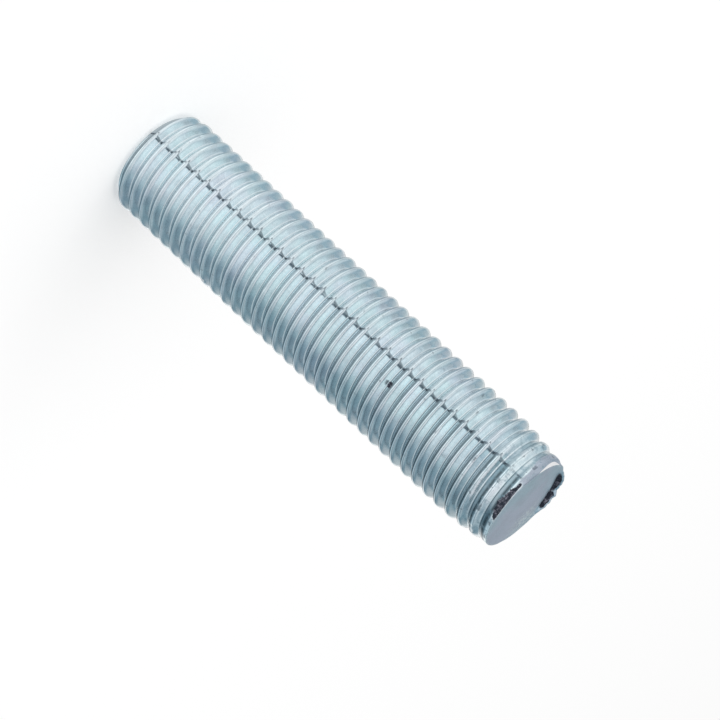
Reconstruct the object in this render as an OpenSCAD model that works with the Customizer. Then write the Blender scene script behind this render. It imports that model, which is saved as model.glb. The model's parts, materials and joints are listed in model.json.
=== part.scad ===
// Fully threaded steel rod, cut to length.
// One end is plain: sawn square and chamfered. The other end was cropped in a shear: its last
// turns fade into a short taper, and the metal is torn and burred along one side of the face.
// The rod stands on its plain end, with its axis along +Z.

/* [Thread] */
// Nominal diameter of the metric thread
nominal_d = 16; // [14:1:20]
// Pitch of the thread, the rise in one turn
pitch = 2; // [2:0.25:2.5]
// Distance that the rolled crests stay inside the nominal diameter, on each side
crest_allowance = 0.15; // [0.05:0.05:0.2]
// Angle about the axis at which a crest meets the plane of the burred end
crest_angle = 60.5; // [0:0.5:359.5]
// Flat facets in one turn of the thread
turn_facets = 36; // [24:4:36]

/* [Rod] */
// Length from the plain end to the face of the burred end
rod_l = 70; // [40:5:70]
// Height of the chamfer on the plain end
plain_chamfer = 1.2; // [0.6:0.2:2]

/* [Burred end] */
// Length over which the last turns fade
taper_l = 8; // [5:0.5:10]
// Share of a full 60 degree cut by which a fading crest widens as it gets lower
crest_spread = 0.35; // [0.2:0.05:0.6]
// Step from the bottom of the thread out to the rim of the face
rim_step = 0.05; // [0:0.05:0.2]
// Radius of the rounded edge round the face
rim_round = 0.2; // [0.1:0.05:0.3]
// Sideways lean of the tapered end
end_lean = 0.1; // [0:0.05:0.2]
// Angle at which the burr begins
burr_from = 82; // [60:1:100]
// Angle over which the burr runs
burr_sweep = 78; // [50:1:90]
// Greatest height of the burr above the face
burr_h = 0.6; // [0.2:0.1:0.8]
// Depth of the torn hollow inside the burr
tear_depth = 0.35; // [0.2:0.05:0.5]
// Width of the torn hollow
tear_w = 0.8; // [0.5:0.1:1]
// Angle at which the torn strip on the side of the rim begins
strip_from = 254; // [245:1:265]
// Angle over which the torn strip runs
strip_sweep = 50; // [40:1:60]
// Greatest length of the torn strip down the side
strip_l = 0.75; // [0.5:0.05:0.9]
// Depth of the torn strip at the rim
strip_depth = 0.2; // [0.1:0.05:0.3]

/* [Hidden] */

// Basic metric profile: a 60 degree thread whose crest is cut by an eighth of its full height
flank_angle = 30;
full_h = pitch / (2 * tan(flank_angle));
nominal_r = nominal_d / 2;
crest_r = nominal_r - crest_allowance;
thread_depth = 17 / 24 * full_h;
root_r = nominal_r - thread_depth;
crest_w = pitch / 8 + 2 * crest_allowance * tan(flank_angle);
flank_w = (crest_r - root_r) * tan(flank_angle);

// Rows of the thread's surface in one pitch: the two edges of the crest, then those of the root
ROWS = 4;
root_from = crest_w / 2 + flank_w;

// The thread is made longer than the rod at both ends, and the blank cuts it square
turns_below = 2;
turns = ceil(rod_l / pitch) + 2 * turns_below;
start_z = rod_l - pitch * (turns - turns_below) - pitch * crest_angle / 360;

face_r = root_r + rim_step;
taper_power = 1.5;
round_steps = 3;
plain_face_r = crest_r - plain_chamfer;
clear_of_thread = 1;
blank_facets = 96;

// The burr as a strip of stations along the rim, and the shares that shape its ragged edge
burr_steps = 13;
burr_ends = 0.06;
burr_fullness = 0.6;
burr_ripple = 0.14;
burr_ripples = 4.3;
burr_root_w = 0.55;
burr_root_depth = 0.5;
burr_lip_w = 0.12;

// The torn hollow as a strip of stations, and the shares of its depth and width at its ends
tear_steps = 9;
tear_margin = 10;
tear_end_depth = 0.35;
tear_end_w = 0.4;
tear_slope = 0.25;
overshoot = 0.3;

// The torn strip as a wedge of stations: small at its ends and widest past its middle
strip_steps = 10;
strip_ends = 0.3;
strip_skew = 1.6;
strip_top = 0.05;
// Depth of the wedge's outer edge against its length: it runs on below the thread's surface
strip_reach = 2.2;

// Share of the taper, from 0 at its start to 1 at the face, at a height
function taper_share(z) = min(1, max(0, (z - rod_l) / taper_l + 1));

// Radius of the crests at a height and angle: full, then fading towards the face
function crest_top(z, a) =
    let (t = taper_share(z))
    crest_r - (crest_r - face_r) * pow(t, taper_power) + end_lean * t * cos(a);

// Half the width of a crest that reaches a radius: a lower crest is a wider one
function crest_half(r) = crest_w / 2 + crest_spread * (crest_r - r) * tan(flank_angle);

// Point of the thread's surface: row counts along the section, col round the turn
function thread_point(row, col) =
    let (
        k = row % ROWS,
        share = col / turn_facets,
        a = 360 * share,
        mid = start_z + pitch * (floor(row / ROWS) + share),
        top = crest_top(mid, a),
        r = k < 2 ? top : root_r,
        along = [-crest_half(top), crest_half(top), root_from, pitch - root_from][k]
    )
    [r * cos(a), r * sin(a), mid + along];

// Ragged height of the burr at t along it, as a share of its greatest height
function burr_share(t) =
    pow(sin(180 * t), burr_fullness)
    * (1 - burr_ripple + burr_ripple * cos(360 * burr_ripples * t));

// Share that swells from what it is at both ends of a run to 1 at its middle
function swell(ends, t) = ends + (1 - ends) * sin(180 * t);

// Point at a radius, angle and height
function polar(r, a, z) = [r * cos(a), r * sin(a), z];

// Solid helical ridge and core, closed by a cone at each end beyond the blank
module thread_form() {
    m = ROWS;
    rows = m * turns;
    n = turn_facets;
    skin = [for (r = [0:rows + m], c = [0:n - 1]) thread_point(r, c)];
    low = len(skin);
    high = low + 1;
    function id(r, c) = c < n ? r * n + c : (r + m) * n;
    walls = [
        for (r = [0:rows - 1], c = [0:n - 1]) each [
            [id(r, c), id(r + 1, c), id(r + 1, c + 1)],
            [id(r, c), id(r + 1, c + 1), id(r, c + 1)]
        ]
    ];
    low_cap = concat(
        [for (c = [0:n - 1]) [low, id(0, c), id(0, c + 1)]],
        [for (r = [0:m - 1]) [low, id(r + 1, 0), id(r, 0)]]
    );
    high_cap = concat(
        [for (c = [0:n - 1]) [high, id(rows, c + 1), id(rows, c)]],
        [for (r = [0:m - 1]) [high, id(rows + r, 0), id(rows + r + 1, 0)]]
    );
    tips = [[0, 0, start_z - pitch], [0, 0, start_z + pitch * (turns + 2)]];
    polyhedron(concat(skin, tips), concat(walls, low_cap, high_cap), convexity = 10);
}

// Blank that trims the thread: chamfered below, cut square above with a rounded rim
module blank() {
    wide_r = crest_r + clear_of_thread;
    rim = [
        for (i = [0:round_steps])
            let (a = 90 * i / round_steps)
            [face_r - rim_round * (1 - cos(a)), rod_l - rim_round * (1 - sin(a))]
    ];
    rotate_extrude($fn = blank_facets)
        polygon(concat(
            [
                [0, 0],
                [plain_face_r, 0],
                [wide_r, plain_chamfer + clear_of_thread],
                [wide_r, rod_l - rim_round - clear_of_thread]
            ],
            rim,
            [[0, rod_l]]
        ));
}

// Closed strip of four-sided stations, each a list of points in order
module strip(stations) {
    k = len(stations[0]);
    last = len(stations) - 1;
    points = [for (s = stations) each s];
    sides = [
        for (i = [0:last - 1], j = [0:k - 1]) each [
            [i * k + j, i * k + (j + 1) % k, (i + 1) * k + (j + 1) % k],
            [i * k + j, (i + 1) * k + (j + 1) % k, (i + 1) * k + j]
        ]
    ];
    ends = [[for (j = [k - 1:-1:0]) j], [for (j = [0:k - 1]) last * k + j]];
    polyhedron(points, concat(sides, ends), convexity = 4);
}

// Lip of metal drawn up along the rim where the shear blade broke out
module burr_lip() {
    strip([
        for (i = [0:burr_steps])
            let (
                t = i / burr_steps,
                a = burr_from + burr_sweep * t,
                top = rod_l + burr_h * burr_share(burr_ends + (1 - 2 * burr_ends) * t),
                outer = face_r - rim_round / 2
            )
            [
                polar(outer - burr_root_w, a, rod_l - burr_root_depth),
                polar(outer, a, rod_l - burr_root_depth),
                polar(outer + burr_lip_w, a, top),
                polar(outer - burr_lip_w, a, top)
            ]
    ]);
}

// Hollow torn out of the face along the foot of the burr
module tear() {
    strip([
        for (i = [0:tear_steps])
            let (
                t = i / tear_steps,
                a = burr_from + tear_margin + (burr_sweep - 2 * tear_margin) * t,
                deep = tear_depth * swell(tear_end_depth, t),
                inner = face_r - burr_root_w - tear_w * swell(tear_end_w, t),
                foot = face_r - rim_round - burr_lip_w
            )
            [
                polar(inner, a, rod_l + overshoot),
                polar(inner + tear_w * tear_slope, a, rod_l - deep),
                polar(foot - burr_lip_w, a, rod_l - deep),
                polar(foot, a, rod_l + overshoot)
            ]
    ]);
}

// Wedge torn off the side of the last turn, from the rim of the face downwards
module torn_strip() {
    outer = crest_r;
    strip([
        for (i = [0:strip_steps])
            let (
                t = i / strip_steps,
                a = strip_from + strip_sweep * t,
                share = swell(strip_ends, pow(t, strip_skew)),
                inner = face_r - strip_depth * share
            )
            [
                polar(inner, a, rod_l + overshoot),
                polar(inner, a, rod_l - strip_top),
                polar(outer, a, rod_l - strip_reach * strip_l * share),
                polar(outer, a, rod_l + overshoot)
            ]
    ]);
}

module threaded_rod() {
    color("silver")
        difference() {
            union() {
                intersection() {
                    thread_form();
                    blank();
                }
                burr_lip();
            }
            tear();
            torn_strip();
        }
}

threaded_rod();
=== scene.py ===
"""Looks of a zinc-plated threaded rod: its rolled thread, its sheared and burred end, the studio.

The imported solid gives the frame. The thread is built again here as one closed surface with its
rounded roots, rolled crests and worn end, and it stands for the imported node.
Shapes are worked out in millimetres and put into the meshes in metres.
"""

import json
import logging
import math
from dataclasses import dataclass
from enum import Enum

import bpy
import numpy as np
from mathutils import Matrix, Vector


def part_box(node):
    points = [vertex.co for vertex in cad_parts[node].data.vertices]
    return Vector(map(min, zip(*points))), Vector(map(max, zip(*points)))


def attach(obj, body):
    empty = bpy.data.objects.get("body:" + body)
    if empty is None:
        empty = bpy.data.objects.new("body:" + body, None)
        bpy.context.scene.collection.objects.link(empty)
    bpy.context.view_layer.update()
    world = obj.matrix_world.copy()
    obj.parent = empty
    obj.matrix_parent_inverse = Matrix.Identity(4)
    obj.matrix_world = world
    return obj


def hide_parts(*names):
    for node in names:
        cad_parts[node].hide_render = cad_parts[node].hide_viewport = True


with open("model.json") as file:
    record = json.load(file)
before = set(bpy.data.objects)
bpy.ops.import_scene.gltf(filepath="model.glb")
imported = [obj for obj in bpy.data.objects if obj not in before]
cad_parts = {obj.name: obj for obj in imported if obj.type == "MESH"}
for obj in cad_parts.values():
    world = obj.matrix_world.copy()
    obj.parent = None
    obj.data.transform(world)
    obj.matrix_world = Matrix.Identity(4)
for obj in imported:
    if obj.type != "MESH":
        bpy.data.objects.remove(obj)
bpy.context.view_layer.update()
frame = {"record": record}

MM = 0.001
LOG = logging.getLogger("threaded_rod")

Grid = dict[str, np.ndarray]
Socket = bpy.types.NodeSocket


class Finish(Enum):
    """Material slots of the rod's mesh, in order."""

    ZINC = 0
    SHEARED = 1


def smooth_step(low: float, high: float, x: np.ndarray) -> np.ndarray:
    """Cubic ease from 0 at low to 1 at high: 3t^2 - 2t^3, with t the clipped share between them."""
    t = np.clip((x - low) / (high - low), 0.0, 1.0)
    return t * t * (3.0 - 2.0 * t)


def angle_gap(a: np.ndarray, centre: float) -> np.ndarray:
    """Signed gap in degrees between angles and a centre, wrapped to -180..180."""
    return (a - centre + 180.0) % 360.0 - 180.0


def bell(x: np.ndarray, width: float) -> np.ndarray:
    """Gaussian bell, exp(-(x/width)^2)."""
    return np.exp(-((x / width) ** 2))


class Wander:
    """Smooth seeded noise along one coordinate."""

    def __init__(self, seed: int, count: int = 4096) -> None:
        """Draws the table of random values.

        Args:
            seed: Seed of the draws.
            count: Length of the table, after which the noise repeats.
        """
        self.values = np.random.default_rng(seed).uniform(-1.0, 1.0, count)

    def at(self, x: np.ndarray) -> np.ndarray:
        """Noise from -1 to 1, with one new value for each unit of x.

        Args:
            x: Places along the coordinate.

        Returns:
            Eased mix of the two nearest table values, v0 + (v1 - v0)(3t^2 - 2t^3).
        """
        base = np.floor(x).astype(np.int64)
        t = x - base
        n = len(self.values)
        low, high = self.values[base % n], self.values[(base + 1) % n]
        return low + (high - low) * t * t * (3.0 - 2.0 * t)


@dataclass(frozen=True)
class Trace:
    """A seeded wander: its seed, how many values it has for each unit, and its reach."""

    seed: int
    rate: float = 1.0
    reach: float = 1.0

    def at(self, x: np.ndarray) -> np.ndarray:
        """Its value at places along a coordinate, from -reach to reach."""
        return Wander(self.seed).at(x * self.rate) * self.reach


@dataclass(frozen=True)
class ThreadSizes:
    """Sizes of the thread in millimetres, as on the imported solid."""

    length: float
    nominal_r: float
    crest_r: float
    pitch: float = 2.0
    flank_deg: float = 30.0
    crest_deg: float = 60.5
    taper_l: float = 8.0
    taper_power: float = 1.5
    end_lean: float = 0.1
    rim_step: float = 0.05
    crest_spread: float = 0.35
    plain_chamfer: float = 1.2
    root_share: float = 17.0 / 24.0

    @property
    def tan_flank(self) -> float:
        """Tangent of the flank angle."""
        return math.tan(math.radians(self.flank_deg))

    @property
    def root_r(self) -> float:
        """Radius at the bottom of the thread: nominal less 17/24 of the full triangle's height."""
        return self.nominal_r - self.root_share * self.pitch / (2.0 * self.tan_flank)

    @property
    def crest_w(self) -> float:
        """Width of the flat crest: an eighth of the pitch, and more by the crest's allowance."""
        return self.pitch / 8.0 + 2.0 * (self.nominal_r - self.crest_r) * self.tan_flank

    @property
    def root_round(self) -> float:
        """Radius of the root's arc, tangent to both flanks and to the bottom of the thread."""
        flat = self.pitch - self.crest_w - 2.0 * (self.crest_r - self.root_r) * self.tan_flank
        return flat / 2.0 / self.tan_flank

    def crest_top(self, z: np.ndarray, a: np.ndarray) -> np.ndarray:
        """Radius of the crests, which fade over the last turns.

        Args:
            z: Heights of the crests' middles.
            a: Angles about the axis, in degrees.

        Returns:
            crest_r - (crest_r - face_r) t^power + lean t cos(a), with t the share of the taper.
        """
        t = np.clip((z - self.length) / self.taper_l + 1.0, 0.0, 1.0)
        face_r = self.root_r + self.rim_step
        faded = self.crest_r - (self.crest_r - face_r) * t**self.taper_power
        return faded + self.end_lean * t * np.cos(np.radians(a))


@dataclass(frozen=True)
class Dent:
    """A nick or scuff in the thread: its angle, height, half sizes and depth in millimetres."""

    deg: float
    z: float
    wide: float
    tall: float
    deep: float


@dataclass(frozen=True)
class TornEnd:
    """Sizes of the sheared end in millimetres and degrees about the axis."""

    # Rounded edge of the face, larger where the shear rolled the metal over
    rim_round: float = 0.08
    rolled_round: float = 0.34
    rolled_deg: float = 246.0
    rolled_width: float = 22.0

    # Smeared zone: its run, how it fades at both ends, and its height below the face
    smear_from: float = 180.0
    smear_to: float = 258.0
    smear_fade_in: float = 8.0
    smear_fade_out: float = 3.0
    smear_low: float = 0.72
    smear_more: float = 0.75
    smear_more_from: float = 246.0
    smear_more_full: float = 218.0

    # Last flank pressed over into one slope, and the groove between the slope and the rim
    roll_r: float = 7.0
    roll_from: float = 0.8
    roll_slope: float = 0.6
    roll_in: tuple = (170.0, 182.0)
    roll_out: tuple = (252.0, 260.0)
    roll_fade: tuple = (0.08, 0.04)
    groove_h: float = 0.42
    groove_slope: float = 0.45
    groove_full: float = 200.0
    groove_end: float = 236.0

    # Burr along the rim: it fades in, and a notch parts its lip
    burr_from: float = 82.0
    burr_full: float = 112.0
    burr_to: float = 160.0
    burr_h: float = 0.6
    burr_flare: float = 0.1
    burr_mean: float = 0.86
    burr_ragged: float = 0.3
    notch_deg: float = 126.0
    notch_width: float = 4.0
    notch_depth: float = 0.5

    # Hollow torn out inside the burr, and its two lobes of painted shade
    tear_deg: float = 128.0
    tear_width: float = 27.0
    tear_r: float = 6.0
    tear_half: float = 0.55
    tear_depth: float = 0.42
    tear_grain: float = 0.35
    upper_deg: float = 140.0
    upper_width: float = 15.0
    lower_deg: float = 111.0
    lower_width: float = 10.0
    lower_r: float = 6.4
    lower_half: float = 0.45
    lobe_gain: float = 2.4

    # Bright flecks on the face by the rim, and the painted highlight on the burr's lip
    fleck_deg: float = 72.0
    fleck_width: float = 30.0
    lip_highlight: float = 0.13

    # Wedge torn off the side of the last turn
    strip_from: float = 254.0
    strip_sweep: float = 50.0
    strip_reach: float = 3.3
    strip_depth: float = 0.24
    strip_ends: float = 0.62
    strip_skew: float = 1.6
    strip_rough: float = 0.07
    strip_ragged: float = 0.16
    strip_clear: float = 0.05
    strip_edge: float = 0.03


@dataclass(frozen=True)
class Toning:
    """Where the painted light and shade on the thread is weaker or darker: degrees about the axis, heights
    in millimetres.
    """

    # Up to the lap line the rows of painted shade are half as dark. That ends between 3 degrees before the
    # line and 2 past it. Towards the plain end the rows of painted shade fade too.
    calm_in: tuple = (60.0, 90.0)
    calm_out: tuple = (3.0, 2.0)
    calm_share: float = 0.5
    soft_z: tuple = (14.0, 46.0)
    soft_share: float = 0.45

    # Towards the sheared end the two lines of painted shade by each crest are sharper
    sharp_z: tuple = (40.0, 60.0)
    sharp_in: tuple = (250.0, 262.0)
    sharp_share: float = 0.42
    sharp_rows: tuple = (6, 7)

    # Well past the lap line, painted shade darkens the flanks that look at the sheared end, as if the next
    # turn shaded them
    shaded_in: tuple = (300.0, 326.0)
    shaded_out: tuple = (344.0, 360.0)
    shaded_share: float = 0.30
    shaded_rows: tuple = (1, 2, 3, 4, 5)

    # Worn turns are darker up to the middle of the crest
    worn_share: float = 0.42
    worn_rows: int = 7
    calm_worn: float = 0.6
    bare_rim: float = 0.4


class MeshParts:
    """Points, faces, uv places and masks gathered for one closed mesh."""

    MASKS = ("crest", "shine", "smeared", "torn", "worn", "nicks")

    def __init__(self) -> None:
        """Starts with nothing gathered."""
        self.points: list[np.ndarray] = []
        self.masks: dict[str, list[np.ndarray]] = {name: [] for name in self.MASKS}
        self.faces: list[np.ndarray] = []
        self.uvs: list[np.ndarray] = []
        self.finishes: list[np.ndarray] = []
        self.count = 0

    def add_points(self, xyz: np.ndarray, **masks: np.ndarray) -> np.ndarray:
        """Adds points with their masks.

        Args:
            xyz: Points in millimetres, n by 3.
            masks: Values from 0 to 1 for each point; a mask that is left out is 0.

        Returns:
            The points' numbers in the mesh.
        """
        self.points.append(xyz)
        for name, kept in self.masks.items():
            kept.append(np.broadcast_to(masks.get(name, 0.0), (len(xyz),)).astype(float))
        ids = np.arange(self.count, self.count + len(xyz))
        self.count += len(xyz)
        return ids

    def add_faces(self, corners: np.ndarray, uv: np.ndarray, finish: Finish) -> None:
        """Adds four-cornered faces.

        Args:
            corners: Point numbers, n by 4; a corner may repeat the one before it.
            uv: Places of the corners on the unrolled surface in millimetres, n by 4 by 2.
            finish: Material slot of these faces.
        """
        self.faces.append(corners)
        self.uvs.append(uv)
        self.finishes.append(np.full(len(corners), finish.value))

    def mesh(self, name: str) -> bpy.types.Mesh:
        """Builds the mesh, with four corners where they differ and three where two are one.

        Args:
            name: The mesh's name.

        Returns:
            A smooth-shaded mesh in metres, with the uv map and the masks as attributes.
        """
        corners = np.concatenate(self.faces)
        uv = np.concatenate(self.uvs)
        finish = np.concatenate(self.finishes)
        keep = corners != np.roll(corners, 1, axis=1)
        sides = keep.sum(axis=1)
        whole = sides >= 3
        corners, uv, finish, keep, sides = (x[whole] for x in (corners, uv, finish, keep, sides))
        flat = corners[keep]
        starts = np.concatenate([[0], np.cumsum(sides)[:-1]])
        used, compact = np.unique(flat, return_inverse=True)
        mesh = bpy.data.meshes.new(name)
        mesh.vertices.add(len(used))
        mesh.loops.add(len(flat))
        mesh.polygons.add(len(sides))
        xyz = np.concatenate(self.points)[used] * MM
        mesh.vertices.foreach_set("co", xyz.astype(np.float32).ravel())
        mesh.loops.foreach_set("vertex_index", compact.astype(np.int32).ravel())
        mesh.polygons.foreach_set("loop_start", starts.astype(np.int32))
        mesh.polygons.foreach_set("material_index", finish.astype(np.int32))
        mesh.polygons.foreach_set("use_smooth", np.ones(len(sides), bool))
        layer = mesh.uv_layers.new(name="unrolled_mm")
        layer.data.foreach_set("uv", uv[keep].astype(np.float32).ravel())
        for mask, kept in self.masks.items():
            values = np.concatenate(kept)[used].astype(np.float32)
            mesh.attributes.new(mask, "FLOAT", "POINT").data.foreach_set("value", values)
        mesh.update(calc_edges=True)
        mesh.validate()
        return mesh


@dataclass
class ThreadedRod:
    """The rod: one closed surface swept along the thread's helix and capped at both ends."""

    sizes: ThreadSizes
    end: TornEnd
    toning: Toning = Toning()
    columns: int = 160
    seam_depth: float = 0.04
    shoulder_drop: float = 0.085
    lip_drop: float = 0.022
    plain_cut: float = 0.03
    lap_deg: float = 253.5
    least_up: float = 0.02
    rough_gain: float = 2.2
    whole_ragged: float = 0.004
    worn_ragged: float = 0.05
    ragged_cap: float = 0.35
    dent_foot: float = 0.5
    full_dent: float = 0.11

    # Seeded unevenness, by turns along the helix (the first seven) or by degrees
    RAGGED = Trace(11, 74.0)
    BROKEN = Trace(12, 27.0, 0.6)
    LEAN = Trace(13, 9.0, 0.012)
    WAVE = Trace(14, 31.0, 0.03)
    ALONG = Trace(16, 17.0, 0.0035)
    SLOW = Trace(17, 1.0, 0.004)
    CHIPS = Trace(23, 93.0, 3.2)
    WEDGE_FLOOR = Trace(33)
    WEDGE_REACH = Trace(34, 0.45)
    WEDGE_RIM = Trace(35, 1.0, 0.4)
    BURR_TOP = Trace(42, 0.44)
    FACE_GRAIN = tuple(Trace(52 + ring, 0.5) for ring in range(17))

    # Small seeded nicks: how many, and the ranges of their places and sizes
    NICK_SEED = 20
    NICKS = 120
    WORN_CHANCE = 0.3
    WORN_Z = (56.0, 69.5)
    ANY_Z = (2.0, 69.0)
    NICK_WIDE = (0.15, 0.5)
    NICK_TALL = (0.08, 0.26)
    NICK_DEEP = (0.03, 0.13)
    BLOT_CLEAR_DEG = 16.0
    BLOT_CLEAR_Z = 4.0

    CREST_SHARES = (-1.0, -0.74, -0.2, 0.3, 0.5, 0.7, 1.0)
    SEAM_SHARE = 0.7
    ROWS = 16
    CREST_ROWS = (6, 10)
    LIP_ROWS = (8, 11)
    BLOT_PALE_ROWS = (3, 4)
    # Painted shade (below 1) and painted highlight (above 1) of the plating row by row: the root, a flank,
    # the crest, the other flank
    PAINTED_SHADING = (
        0.2, 0.85, 0.95, 0.9, 0.65,
        0.35, 0.33, 0.5, 1.1, 1.08, 0.6, 1.1,
        1.13, 1.13, 1.15, 1.1,
    )
    SCARS = (
        Dent(233.0, 68.3, 0.45, 0.22, 0.08), Dent(260.0, 66.4, 0.3, 0.2, 0.08),
        Dent(301.0, 66.9, 0.5, 0.3, 0.1), Dent(270.0, 65.1, 0.3, 0.2, 0.09),
        Dent(288.0, 62.8, 0.25, 0.2, 0.09), Dent(301.0, 64.4, 0.3, 0.2, 0.07),
        Dent(243.0, 66.0, 0.5, 0.16, 0.07), Dent(281.0, 67.2, 0.9, 0.14, 0.08),
        Dent(308.0, 67.4, 0.35, 0.3, 0.09), Dent(254.0, 69.42, 1.0, 0.15, 0.1),
        Dent(247.0, 69.1, 0.4, 0.12, 0.06), Dent(200.0, 65.8, 0.6, 0.25, 0.1),
        Dent(198.0, 67.3, 0.7, 0.3, 0.1), Dent(222.0, 67.9, 0.3, 0.15, 0.08),
    )
    BLOT = Dent(276.0, 48.55, 0.52, 0.52, 0.1)
    # Rings of the sheared end: distance in from the rim, and share of the burr's height
    INSETS = (0.0, 0.0, 0.0, 0.14, 0.3, 0.45, 0.6, 0.8, 1.0, 1.2, 1.4, 1.8, 2.5, 3.4, 4.4, 5.4, 6.2)
    LIFTS = (0.3, 0.75, 1.0, 0.95, 0.5, 0.15) + (0.0,) * 11
    ROUND_DEGS = (30.0, 60.0, 90.0)
    BURR_RINGS = 6
    LIP_RINGS = (1, 2, 3)
    FLECK_RINGS = 14
    # Rings of the plain end: steps in radius and heights over its edge, then radii on its face
    PLAIN_EDGE = ((-0.02, 0.004), (-0.06, 0.0))
    PLAIN_RINGS = (5.6, 3.6, 1.6)
    FACE_UV = (-40.0, 0.0)

    def crest_rows(
        self, half: np.ndarray, up: np.ndarray, rough: np.ndarray, turn: np.ndarray
    ) -> list[tuple[np.ndarray, np.ndarray]]:
        """Rows over a rolled crest: two rounded lips with a broken seam between them.

        Args:
            half: Half the crest's width.
            up: The crest's height over the root.
            rough: 0 where the crest is whole, up to 1 where it is worn away.
            turn: Turns along the helix.

        Returns:
            Offset from the crest's middle and height over the root, row by row.
        """
        ragged = self.whole_ragged + self.worn_ragged * rough
        ragged = ragged * np.minimum(self.RAGGED.at(turn), self.ragged_cap)
        lean, wave = self.LEAN.at(turn), self.WAVE.at(turn)
        seam = self.seam_depth * np.clip(0.8 + self.BROKEN.at(turn), 0.0, 1.2) * (1.0 - 0.5 * rough)
        rows = []
        for share in self.CREST_SHARES:
            outer, inner = abs(share) > 0.9, share == self.SEAM_SHARE
            drop = self.shoulder_drop if outer else self.lip_drop if abs(share) > 0.5 else 0.0
            drop = drop * np.clip(up, 0.3, 1.0)
            fall = seam * np.clip(up, 0.3, 1.0) if inner else drop
            spread = math.copysign(self.sizes.tan_flank, share) * drop * outer
            rows.append((half * share + spread + wave * inner, up - fall + lean * share + ragged))
        return rows

    def swept(self) -> Grid:
        """Points of the thread, on rows along the helix and columns round it.

        The section has an arc of radius R in the root, root_r + R - sqrt(R^2 - d^2) at d from its
        middle, a straight line up each flank, and the rolled crest. It rises a pitch for each turn.

        Returns:
            Arrays of rows by columns: a (degrees), z, r, turn (turns along the helix), row (of
            the section) and rough (0 on whole crests, 1 on worn ones).
        """
        s = self.sizes
        laps = math.ceil(s.length / s.pitch) + 3
        lap = np.arange(laps)[:, None]
        share = np.arange(self.columns)[None, :] / self.columns
        turn = lap + share
        a = np.broadcast_to(360.0 * share, turn.shape)
        start = s.length - s.pitch * (laps - 2) - s.pitch * s.crest_deg / 360.0
        mid = start + s.pitch * turn
        top = s.crest_top(mid, a)
        root_arc = s.root_round
        tangent = root_arc * math.cos(math.radians(s.flank_deg))
        tangent_up = root_arc * (1.0 - math.sin(math.radians(s.flank_deg)))
        half_pitch = s.pitch / 2.0
        up = np.maximum(top - s.root_r, self.least_up)
        lowered = s.crest_r - s.root_r - up
        edge = half_pitch - s.crest_w / 2.0 - s.crest_spread * lowered * s.tan_flank
        foot = np.broadcast_to(tangent, up.shape)
        shallow = np.minimum(1.0, 0.4 * up / tangent_up)
        foot_up = shallow * tangent_up
        arc_up = shallow * (root_arc - math.sqrt(root_arc**2 - tangent**2 / 4.0))
        rough = np.clip((s.crest_r - top) * self.rough_gain, 0.0, 1.0)
        crest = self.crest_rows(half_pitch - edge, up, rough, turn)
        shoulder_up = crest[0][1]
        edge = half_pitch + crest[0][0]
        rising = [(0.0 * up, 0.0 * up), (foot / 2.0, arc_up), (foot, foot_up)]
        for part in (1.0 / 3.0, 2.0 / 3.0):
            rising.append((foot + (edge - foot) * part, foot_up + (shoulder_up - foot_up) * part))
        rows = [(-half_pitch + d, h) for d, h in rising] + crest
        rows += [(half_pitch - d, h) for d, h in reversed(rising[1:])]
        offset = np.stack([d for d, _ in rows], axis=1)
        height = np.stack([h for _, h in rows], axis=1)

        def flat(x: np.ndarray) -> np.ndarray:
            """Spreads lap-by-column values over the section's rows."""
            x = np.broadcast_to(x[:, None, :], offset.shape)
            return x.reshape(laps * self.ROWS, self.columns)

        shape = (laps * self.ROWS, self.columns)
        z = flat(mid) + offset.reshape(shape)
        r = s.root_r + height.reshape(shape)
        row = np.broadcast_to(np.arange(laps * self.ROWS)[:, None] % self.ROWS, shape)
        return {"a": flat(a), "z": z, "r": r, "turn": flat(turn), "row": row, "rough": flat(rough)}

    def waviness(self, g: Grid) -> np.ndarray:
        """Slight waves that the rolling left on the flanks: the sum of a quick and a slow trace.

        Args:
            g: The swept points.

        Returns:
            Change of radius in millimetres, rows by columns.
        """
        return self.ALONG.at(g["turn"]) + self.SLOW.at(g["turn"] * 6.0 + g["row"] * 0.02)

    def dents(self, g: Grid) -> tuple[np.ndarray, np.ndarray, np.ndarray]:
        """Nicks knocked into the crests: bells round a few set places and many seeded ones.

        Args:
            g: The swept points.

        Returns:
            Depth in millimetres, a mask of dulled nicks and one of the dark blot.
        """
        draw = np.random.default_rng(self.NICK_SEED)
        places = list(self.SCARS)
        b = self.BLOT
        for _ in range(self.NICKS):
            z = draw.uniform(*(self.WORN_Z if draw.uniform() < self.WORN_CHANCE else self.ANY_Z))
            wide, tall = draw.uniform(*self.NICK_WIDE), draw.uniform(*self.NICK_TALL)
            deg, deep = draw.uniform(0.0, 360.0), draw.uniform(*self.NICK_DEEP)
            if abs(deg - b.deg) > self.BLOT_CLEAR_DEG or abs(z - b.z) > self.BLOT_CLEAR_Z:
                places.append(Dent(deg, z, wide, tall, deep))
        depth = np.zeros_like(g["z"])
        mask = np.zeros_like(g["z"])
        for d in places:
            near = np.abs(g["z"] - d.z) < 4.0 * d.tall
            gap = np.radians(angle_gap(g["a"][near], d.deg)) * self.sizes.crest_r
            here = bell(gap, d.wide) * bell(g["z"][near] - d.z, d.tall)
            depth[near] += here * d.deep
            mask[near] = np.maximum(mask[near], here * min(1.0, d.deep / self.full_dent))
        on_thread = np.clip((g["r"] - self.sizes.root_r) / self.dent_foot, 0.0, 1.0)
        gap = np.radians(angle_gap(g["a"], b.deg)) * self.sizes.crest_r
        block = np.exp(-((gap / b.wide) ** 4) - ((g["z"] - b.z) / b.tall) ** 4)
        depth = (depth + b.deep * block) * on_thread
        block = block * np.where(np.isin(g["row"], self.BLOT_PALE_ROWS), 0.3, 1.0)
        return depth, mask * on_thread, block

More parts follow.
